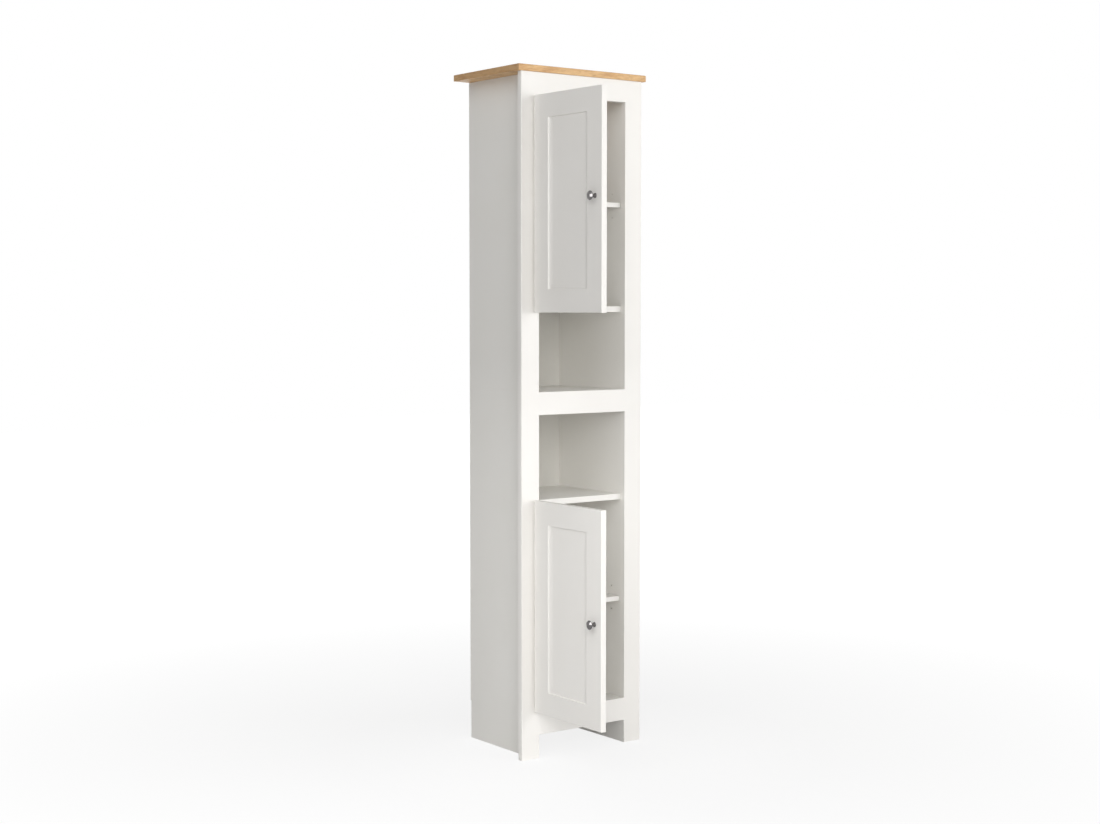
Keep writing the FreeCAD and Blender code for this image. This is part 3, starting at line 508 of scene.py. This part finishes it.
def add_copy(build, pattern, place):
    """Add a moved copy of a pattern to a mesh being built."""
    copy = bpy.data.meshes.new("copy")
    pattern.to_mesh(copy)
    copy.transform(place)
    build.from_mesh(copy)
    bpy.data.meshes.remove(copy)


def turned(profile, steps):
    """Spin a profile of (radius, height) about Z, and close it where it meets the axis."""
    build = bmesh.new()
    points = [build.verts.new((radius, 0, height)) for radius, height in profile]
    edges = [build.edges.new(pair) for pair in zip(points, points[1:])]
    bmesh.ops.spin(
        build, geom=points + edges, cent=(0, 0, 0), axis=(0, 0, 1), angle=2 * math.pi,
        steps=steps, use_merge=True,
    )
    bmesh.ops.remove_doubles(build, verts=build.verts, dist=AXIS_WELD)
    bmesh.ops.recalc_face_normals(build, faces=build.faces)
    return build


def block(low, high):
    """A box between two opposite corners."""
    low, high = Vector(low), Vector(high)
    build = bmesh.new()
    size = Matrix.Diagonal((*(high - low), 1))
    bmesh.ops.create_cube(build, size=1, matrix=Matrix.Translation((low + high) / 2) @ size)
    return build


def solid_boxes(node):
    """Lowest and highest corner of each separate solid in a CAD node."""
    build = bmesh.new()
    build.from_mesh(frame["nodes"][node].data)
    bmesh.ops.remove_doubles(build, verts=build.verts, dist=WELD)
    boxes = []
    seen = set()
    for first in build.verts:
        if first in seen:
            continue
        seen.add(first)
        reached = [first]
        for vertex in reached:
            for edge in vertex.link_edges:
                other = edge.other_vert(vertex)
                if other not in seen:
                    seen.add(other)
                    reached.append(other)
        spans = [[vertex.co[axis] for vertex in reached] for axis in range(3)]
        boxes.append((Vector(min(span) for span in spans), Vector(max(span) for span in spans)))
    build.free()
    return boxes


def rods(node):
    """Place, radius and length of each solid of a CAD node whose longest side is its axis."""
    found = []
    for low, high in solid_boxes(node):
        size = high - low
        axis = max(range(3), key=lambda i: size[i])
        direction = Vector([float(i == axis) for i in range(3)])
        start = (low + high) / 2 - direction * size[axis] / 2
        radius = max(size[i] for i in range(3) if i != axis) / 2
        found.append((placed(direction, start), radius, size[axis]))
    return found


# Woodwork

def board_material(node):
    """Which finish a wooden node has."""
    if node == "top_panel":
        return "oak"
    if node.endswith("back_panel"):
        return "hardboard"
    if "door" in node or "stile" in node or "rail" in node:
        return "lacquer"
    return "foil"


def cam_frames():
    """Place of each cam lock: local Z runs into the board and local X towards its post."""
    places = []
    panel_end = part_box("bottom_panel")[1].x
    for low, high in solid_boxes("cam_locks"):
        middle = (low + high) / 2
        side = math.copysign(1.0, middle.x)
        if abs(middle.x) > panel_end:
            # In a side panel, let in from inside the cabinet
            face = Vector((side * panel_end, middle.y, middle.z))
            axes = Matrix(((0, 0, side), (0, -side, 0), (1, 0, 0))).to_4x4()
        else:
            # In a level board, let in from below
            face = Vector((middle.x, middle.y, low.z))
            axes = Matrix(((side, 0, 0), (0, side, 0), (0, 0, 1))).to_4x4()
        places.append(Matrix.Translation(face) @ axes)
    return places


def bores(node):
    """Place, radius and depth of the round holes that show in a board."""
    low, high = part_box(node)
    found = []
    if node.endswith("side"):
        side = math.copysign(1.0, low.x)
        face = min(abs(low.x), abs(high.x)) * side
        for pin_low, pin_high in solid_boxes("shelf_pins"):
            middle = (pin_low + pin_high) / 2
            for step in SPARE_HOLE_STEPS:
                start = Vector((face, middle.y, middle.z + step))
                if middle.x * side > 0 and low.z < middle.z < high.z:
                    radius = (pin_high.z - pin_low.z) / 2
                    found.append((placed((side, 0, 0), start), radius, SHELF_HOLE_DEPTH))
    if node.endswith("back_panel"):
        for place, radius, length in rods("back_panel_nails"):
            if low.z < place.translation.z < high.z:
                start = Vector((place.translation.x, low.y - PAST_FACE, place.translation.z))
                found.append((placed((0, 1, 0), start), radius, high.y - low.y + 2 * PAST_FACE))
    for place in cam_frames():
        inside = place @ Vector((0, 0, CAM_DEPTH / 2))
        if all(low[i] < inside[i] < high[i] for i in range(3)):
            found.append((place, CAM_BORE_RADIUS, CAM_DEPTH))
    return found


def bore_cutters(node):
    """One mesh of round cutters, each centred on a hole's mouth and a hair larger than the hole."""
    build = bmesh.new()
    for place, radius, depth in bores(node):
        bmesh.ops.create_cone(
            build, segments=BORE_STEPS, cap_ends=True, radius1=radius + BORE_CLEARANCE,
            radius2=radius + BORE_CLEARANCE, depth=2 * (depth + BORE_CLEARANCE), matrix=place,
        )
    return build


def is_member(node):
    """Whether a node is an upright or cross piece of the face frame or of a door."""
    return node.endswith(("stile", "rail"))


def outline(node):
    """Box round the whole face frame or door that a member belongs to."""
    family = node[:node.find("_door_") + 1]
    members = [
        name for name in RECORD_SLOTS
        if is_member(name) and name[:name.find("_door_") + 1] == family
    ]
    lows, highs = zip(*(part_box(name) for name in members))
    return (
        Vector(min(low[axis] for low in lows) for axis in range(3)),
        Vector(max(high[axis] for high in highs) for axis in range(3)),
    )


def on_border(edge, low, high):
    """Whether an edge runs along the outside of a frame or door, away from its joints."""
    middle = (edge.verts[0].co + edge.verts[1].co) / 2
    wide = [axis for axis in range(3) if high[axis] - low[axis] > COVE_INWARD]
    return any(min(middle[i] - low[i], high[i] - middle[i]) < BORDER for i in wide)


def close_joint(build, node):
    """Bring the chamfer beside a frame joint back to its corner: the photo shows no line there."""
    low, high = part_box(node)
    inner = min(low.x, high.x, key=abs)
    reach = JOINT_CHAMFER + TOLERANCE
    for vertex in build.verts:
        if abs(vertex.co.x - inner) < reach and vertex.co.y - low.y < reach:
            vertex.co.x = inner
            vertex.co.y = low.y
    bmesh.ops.remove_doubles(build, verts=build.verts, dist=WELD)


def narrowed(height, low, high):
    """Where a height within a door's outline goes when the rails' coves are made narrower."""
    border, side = (low, 1) if height - low < high - height else (high, -1)
    inward = (height - border) * side - COVE_INWARD
    if 0 < inward < COVE_WIDTH:
        inward *= RAIL_COVE_SHARE
    return border + side * (COVE_INWARD + inward)


def steepen_cove(build, node, low, high):
    """Make the coves along a door's rails narrower, for the lines the photo shows there."""
    for vertex in build.verts:
        depth = vertex.co.x - low.x
        from_side = min(vertex.co.y - low.y, high.y - vertex.co.y)
        from_end = min(vertex.co.z - low.z, high.z - vertex.co.z)
        # A rail's eased outer edge can lie as deep as the cove starts, but isn't part of it
        on_easing = from_end < TOLERANCE and depth < DOOR_EASING + TOLERANCE
        if node.endswith("rail") and on_easing or from_side < COVE_INWARD - TOLERANCE:
            continue
        if COVE_STEP - TOLERANCE < depth < COVE_DEPTH - TOLERANCE:
            vertex.co.z = narrowed(vertex.co.z, low.z, high.z)


def is_long(edge):
    """Whether an edge of a board is long enough to be rounded."""
    return edge.calc_length() > SHORTEST_BOARD_EDGE


def round_member(build, node):
    """Round a member's outer edges, and ease those at its joints much less."""
    low, high = outline(node)
    if "_door_" in node:
        steepen_cove(build, node, low, high)
    elif node.endswith("stile"):
        close_joint(build, node)
    rounded(build, BOARD_ROUNDING, lambda edge: is_long(edge) and on_border(edge, low, high))
    rounded(build, JOINT_ROUNDING, lambda edge: is_long(edge) and not on_border(edge, low, high))


def finish_boards():
    """Round the boards' long edges, cut their bores, and shade their square faces flat."""
    for node in [name for name, slot in RECORD_SLOTS.items() if slot in WOODEN_SLOTS]:
        build = merged(node)
        if is_member(node):
            round_member(build, node)
        else:
            width = BACK_ROUNDING if node.endswith("back_panel") else BOARD_ROUNDING
            rounded(build, width, is_long)
        cutters = bore_cutters(node)
        if cutters.verts:
            build = carved(build, [cutters])
        in_triangles(build)
        board = smooth(make_object(node + "_finished", build), COVE_FACET_ANGLE)
        for polygon in board.data.polygons:
            polygon.use_smooth = max(abs(part) for part in polygon.normal) < SQUARE_FACE
        stand_for(board, node, board_material(node))


# Knobs

def knob_profile():
    """Radius and height from the foot, round the waist, under the head and over the dome."""
    low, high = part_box("upper_door_knob")
    reach = high.x - low.x
    under = reach - KNOB_HEAD
    shoulder = reach - KNOB_DOME
    profile = [
        (0, 0), (KNOB_BASE_RADIUS - KNOB_BASE_EASING, 0), (KNOB_BASE_RADIUS, KNOB_BASE_EASING),
        (KNOB_BASE_RADIUS, KNOB_BASE_HEIGHT - KNOB_BASE_EASING),
        (KNOB_BASE_RADIUS - KNOB_BASE_LIP, KNOB_BASE_HEIGHT),
    ]
    for step in range(KNOB_WAIST_STEPS + 1):
        share = step / KNOB_WAIST_STEPS
        height = KNOB_BASE_HEIGHT + (under - KNOB_BASE_HEIGHT) * share
        flare = (1 - share) ** KNOB_FOOT_POWER * (KNOB_WAIST_FOOT_RADIUS - KNOB_NECK_RADIUS)
        flare += share ** KNOB_HEAD_POWER * (KNOB_WAIST_HEAD_RADIUS - KNOB_NECK_RADIUS)
        profile.append((KNOB_NECK_RADIUS + flare, height))
    rim_middle = (under + shoulder) / 2
    rim_height = (shoulder - under) / 2
    for step in range(KNOB_RIM_STEPS + 1):
        angle = math.radians(-90 + 180 * step / KNOB_RIM_STEPS)
        bulge = (KNOB_HEAD_RADIUS - KNOB_RIM_RADIUS) * math.cos(angle)
        profile.append((KNOB_RIM_RADIUS + bulge, rim_middle + rim_height * math.sin(angle)))
    dome_radius = (KNOB_RIM_RADIUS ** 2 + KNOB_DOME ** 2) / (2 * KNOB_DOME)
    slope = math.asin(KNOB_RIM_RADIUS / dome_radius)
    for step in range(1, KNOB_DOME_STEPS + 1):
        angle = slope * (1 - step / KNOB_DOME_STEPS)
        profile.append((dome_radius * math.sin(angle), reach - dome_radius * (1 - math.cos(angle))))
    return profile


def finish_knobs():
    for door in DOORS:
        node = door + "_door_knob"
        low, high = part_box(node)
        build = turned(knob_profile(), KNOB_STEPS)
        foot = Vector((high.x, (low.y + high.y) / 2, (low.z + high.z) / 2))
        build.transform(placed(-OUT_OF_SIDE, foot))
        stand_for(smooth(make_object(node + "_turned", build)), node, "chrome")


# Pins, posts, dowels and nails

def pin_profile(radius, length):
    """A plain pin with eased ends."""
    end = length - END_EASING
    eased = radius - END_EASING
    return [(0, 0), (eased, 0), (radius, END_EASING), (radius, end), (eased, length), (0, length)]


def rivet_profile(radius, length):
    """A pin whose ends are spread into very low heads."""
    head = RIVET_SPREAD * radius
    low_end = [(0, -RIVET_HEIGHT), (RIVET_CROWN * head, -RIVET_HEIGHT), (head, 0), (radius, 0)]
    return low_end + [(across, length - height) for across, height in reversed(low_end)]


def nail_profile(radius, length):
    """A hardboard nail: pointed, with a small flat head that lies flush."""
    shank = NAIL_SHANK * radius
    rim = NAIL_RIM * radius
    under = length - NAIL_HEAD
    return [
        (0, 0), (shank, NAIL_POINT * shank), (shank, under - NAIL_NECK), (rim, under),
        (rim, length - NAIL_EASING), (NAIL_CROWN * radius, length), (0, length),
    ]


TURNED_NODES = {
    "shelf_pins": ("zinc", pin_profile),
    "cam_posts": ("zinc", pin_profile),
    "wood_dowels": ("beech", pin_profile),
    "back_panel_nails": ("zinc", nail_profile),
    "hinge_arm_pins": ("zinc", rivet_profile),
}
for door in DOORS:
    TURNED_NODES[door + "_swing_pins"] = ("zinc", rivet_profile)
    TURNED_NODES[door + "_guide_pins"] = ("zinc", rivet_profile)
    TURNED_NODES[door + "_cup_pins"] = ("zinc", pin_profile)


def finish_pins():
    """Turn every pin, post, dowel and nail from its own radius and length."""
    for node, (material, profile) in TURNED_NODES.items():
        build = bmesh.new()
        for place, radius, length in rods(node):
            add_copy(build, turned(profile(radius, length), SMALL_STEPS), place)
        stand_for(smooth(make_object(node + "_turned", build)), node, material)


# Screws

def cross_slots(top, width, span, depth):
    """Two crossed cutters, let into a head whose top is at this height."""
    long, thin = span / 2, width / 2
    return [
        block((-long, -thin, top - depth), (long, thin, top + depth)),
        block((-thin, -long, top - depth), (thin, long, top + depth)),
    ]


def screw(radius, length, head, shank):
    """A pan-head screw with a cross recess, drawn along Z with its head at the far end."""
    seat = length - head
    rim = SCREW_RIM * head
    profile = [(0, 0), (shank, SCREW_POINT * shank), (shank, seat), (radius, seat)]
    for step in range(SCREW_DOME_STEPS + 1):
        angle = math.radians(90 * step / SCREW_DOME_STEPS)
        profile.append((radius * math.cos(angle), seat + rim + (head - rim) * math.sin(angle)))
    build = turned(profile, SMALL_STEPS)
    slots = cross_slots(length, SLOT_WIDTH * radius, SLOT_SPAN * radius, SLOT_DEPTH * head)
    return carved(build, slots)


def finish_screws():
    screws = {"hinge_screws": (SCREW_HEAD, SCREW_SHANK_RADIUS)}
    for door in DOORS:
        screws[door + "_cup_screws"] = (SCREW_HEAD, SCREW_SHANK_RADIUS)
        screws[door + "_door_knob_screw"] = (KNOB_SCREW_HEAD, KNOB_SCREW_SHANK_RADIUS)
    for node, (head, shank) in screws.items():
        build = bmesh.new()
        for place, radius, length in rods(node):
            add_copy(build, screw(radius, length, head, shank), place)
        stand_for(smooth(make_object(node + "_turned", build)), node, "zinc")


# Cam locks

def cam_lock():
    """A cast lock: ringed face with a cross slot, and a notch in its side for the post."""
    radius = CAM_RADIUS
    eased = radius - CAM_EASING
    ring = [
        (share * radius, height) for share, height in zip(CAM_RING, (0, CAM_EASING, CAM_EASING, 0))
    ]
    profile = [(0, 0)] + ring + [
        (eased, 0), (radius, CAM_EASING), (radius, CAM_DEPTH - CAM_EASING), (eased, CAM_DEPTH),
        (0, CAM_DEPTH),
    ]
    half = CAM_NOTCH / 2
    notch = block(
        (0, -half, CAM_POST_FROM_FACE - half),
        (CAM_NOTCH_REACH * radius, half, CAM_POST_FROM_FACE + half),
    )
    slots = cross_slots(0, CAM_SLOT_WIDTH, CAM_SLOT_SPAN, CAM_SLOT_DEPTH)
    return carved(turned(profile, BORE_STEPS), slots + [notch])


def finish_cams():
    build = bmesh.new()
    pattern = cam_lock()
    for place in cam_frames():
        add_copy(build, pattern, place)
    stand_for(smooth(make_object("cam_locks_cast", build)), "cam_locks", "casting")


# Hinges

def cup_wings():
    """A flat strip with round ends, across the cup and standing proud of the door."""
    build = bmesh.new()
    half_step = Matrix.Rotation(math.pi / BORE_STEPS, 4, "Z")
    bmesh.ops.create_circle(
        build, cap_ends=True, radius=CUP_WING_RADIUS, segments=BORE_STEPS, matrix=half_step
    )
    for side in (-1, 1):
        end = [vertex for vertex in build.verts if vertex.co.y * side > 0]
        bmesh.ops.translate(build, verts=end, vec=(-CUP_WING_OFFSET, side * CUP_WING_REACH, 0))
    raised = bmesh.ops.extrude_face_region(build, geom=list(build.faces))
    top = [item for item in raised["geom"] if isinstance(item, bmesh.types.BMVert)]
    bmesh.ops.translate(build, verts=top, vec=(0, 0, CUP_WALL))
    bmesh.ops.recalc_face_normals(build, faces=build.faces)
    rounded(build, PRESSED_ROUNDING, lambda edge: all(v.co.z > CUP_WALL / 2 for v in edge.verts))
    return build


def cup_bowl(radius, floor, corner):
    """Profile of a bowl's floor, from its centre, and of the round corner where its wall starts."""
    profile = [(0, floor)]
    for step in range(CUP_CORNER_STEPS + 1):
        angle = math.radians(90 * step / CUP_CORNER_STEPS)
        across = radius - corner + corner * math.sin(angle)
        profile.append((across, floor + corner * (1 - math.cos(angle))))
    return profile


def hinge_cup():
    """A pressed cup with a round flange and two screw wings, its mouth towards +Z."""
    rim = CUP_WALL - PRESSED_ROUNDING
    outside = cup_bowl(CUP_RADIUS, -CUP_DEPTH, CUP_CORNER) + [
        (CUP_RADIUS, 0), (CUP_FLANGE_RADIUS, 0), (CUP_FLANGE_RADIUS, rim),
        (CUP_FLANGE_RADIUS - PRESSED_ROUNDING, CUP_WALL), (0, CUP_WALL),
    ]
    inner = CUP_RADIUS - CUP_WALL
    inside = cup_bowl(inner, CUP_WALL - CUP_DEPTH, CUP_CORNER) + [
        (inner, rim), (inner + 2 * PRESSED_ROUNDING, CUP_WALL + PRESSED_ROUNDING),
        (0, CUP_WALL + PRESSED_ROUNDING),
    ]
    tools = [("UNION", cup_wings()), ("DIFFERENCE", turned(inside, KNOB_STEPS))]
    return combined(turned(outside, KNOB_STEPS), tools)


def finish_cups():
    pattern = hinge_cup()
    for door in DOORS:
        node = door + "_hinge_cups"
        build = bmesh.new()
        for low, high in solid_boxes(node):
            mouth = Vector((high.x - CUP_WALL, (low.y + high.y) / 2, (low.z + high.z) / 2))
            axes = Matrix(((0, 0, 1), (1, 0, 0), (0, 1, 0))).to_4x4()
            add_copy(build, pattern, Matrix.Translation(mouth) @ axes)
        in_triangles(build)
        stand_for(smooth(make_object(node + "_pressed", build)), node, "nickel")


def finish_arms():
    """Soften the folded arms and their mounting plates."""
    for node in ("hinge_arms", "hinge_plates"):
        build = merged(node)
        rounded(build, PRESSED_ROUNDING, lambda edge: edge.calc_length() > SHORTEST_PRESSED_EDGE)
        in_triangles(build)
        stand_for(smooth(make_object(node + "_pressed", build)), node, "nickel")


def is_upright(edge):
    first, second = edge.verts
    return abs((first.co - second.co).normalized().z) > UPRIGHT_EDGE


def finish_levers():
    """Round the ends of the flat levers and links, then ease their edges."""
    for door in DOORS:
        for kind in ("_swing_levers", "_guide_levers", "_cross_links", "_tie_links"):
            node = door + kind
            build = merged(node)
            rounded(build, LEVER_END_ROUNDING, lambda edge: edge.is_convex and is_upright(edge))
            rounded(build, LEVER_ROUNDING, lambda edge: not is_upright(edge), segments=2)
            in_triangles(build)
            stand_for(smooth(make_object(node + "_pressed", build)), node, "nickel")


# Stage, light and camera

def seen_directly(tree):
    """1 for rays from the eye, off shiny metal or through glass, and 0 for those that light the object."""
    rays = add(tree, "LightPath")
    share = rays.outputs["Is Camera Ray"]
    for kind in ("Is Glossy Ray", "Is Transmission Ray"):
        share = add(tree, "Math", links={0: share, 1: rays.outputs[kind]}, operation="MAXIMUM").outputs[0]
    return share


def white_stage():
    """A plain white floor that takes a faint shadow near the object and is white to the eye beyond."""
    material, tree = new_material("plain_white_floor")
    matt = add(tree, "BsdfDiffuse", {"Color": linear("#DCDCDC")})
    glow = add(tree, "Emission", {"Color": (1, 1, 1, 1), "Strength": 1.06})
    place = add(tree, "TexCoord").outputs["Object"]
    # Seen directly it is mostly its own white, and wholly so from 2.6 m out
    distance = add(tree, "VectorMath", links={0: place}, operation="LENGTH")
    own_white = add(
        tree, "MapRange", {"From Min": 0.6, "From Max": 2.6, "To Min": 0.78, "To Max": 1.0},
        {"Value": distance.outputs["Value"]},
    )
    share = add(
        tree, "Math", links={0: seen_directly(tree), 1: own_white.outputs[0]}, operation="MULTIPLY"
    )
    mixed = add(
        tree, "MixShader",
        links={0: share.outputs[0], 1: matt.outputs[0], 2: glow.outputs[0]},
    )
    finish_material(tree, mixed)
    build = bmesh.new()
    bmesh.ops.create_grid(build, x_segments=1, y_segments=1, size=FLOOR_REACH)
    floor = make_object("floor", build)
    floor.data.materials.append(material)


def world_light():
    """Even daylight from all round, and a white surround for the eye and for shiny metal."""
    world = bpy.data.worlds.new("soft_surround")
    bpy.context.scene.world = world
    world.use_nodes = True
    tree = world.node_tree
    tree.nodes.clear()
    strength = add(tree, "MapRange", {"To Min": 0.15, "To Max": 1.0}, {"Value": seen_directly(tree)})
    sky = add(tree, "Background", {"Color": (1, 1, 1, 1)}, {"Strength": strength.outputs[0]})
    output = add(tree, "OutputWorld")
    tree.links.new(sky.outputs[0], output.inputs["Surface"])


def soft_lamp(name, place, target, size, power):
    """Add a large square lamp aimed at a point, and return it for settings of its own."""
    data = bpy.data.lights.new(name, "AREA")
    data.size = size
    data.energy = power
    lamp = bpy.data.objects.new(name, data)
    lamp.location = place
    lamp.rotation_euler = (Vector(target) - Vector(place)).to_track_quat("-Z", "Y").to_euler()
    bpy.context.scene.collection.objects.link(lamp)
    return lamp


def studio_lamps():
    """Soft boxes, and one straight out from the knobs that shows only in shiny surfaces."""
    for window in WINDOWS:
        soft_lamp(*window)
    shine = soft_lamp(*KNOB_SHINE)
    shine.visible_diffuse = False


def add_camera():
    """The photograph's camera."""
    data = bpy.data.cameras.new("camera")
    data.lens = CAMERA_LENS
    data.sensor_width = SENSOR_WIDTH
    data.sensor_fit = "HORIZONTAL"
    camera = bpy.data.objects.new("camera", data)
    camera.location = CAMERA_PLACE
    camera.rotation_euler = (math.radians(90) - CAMERA_DROP, 0, -CAMERA_HEADING)
    bpy.context.scene.collection.objects.link(camera)
    bpy.context.scene.camera = camera


def main():
    finish_boards()
    finish_knobs()
    finish_pins()
    finish_screws()
    finish_cams()
    finish_cups()
    finish_arms()
    finish_levers()
    white_stage()
    world_light()
    studio_lamps()
    add_camera()
    bpy.context.scene.view_settings.view_transform = "Standard"


main()
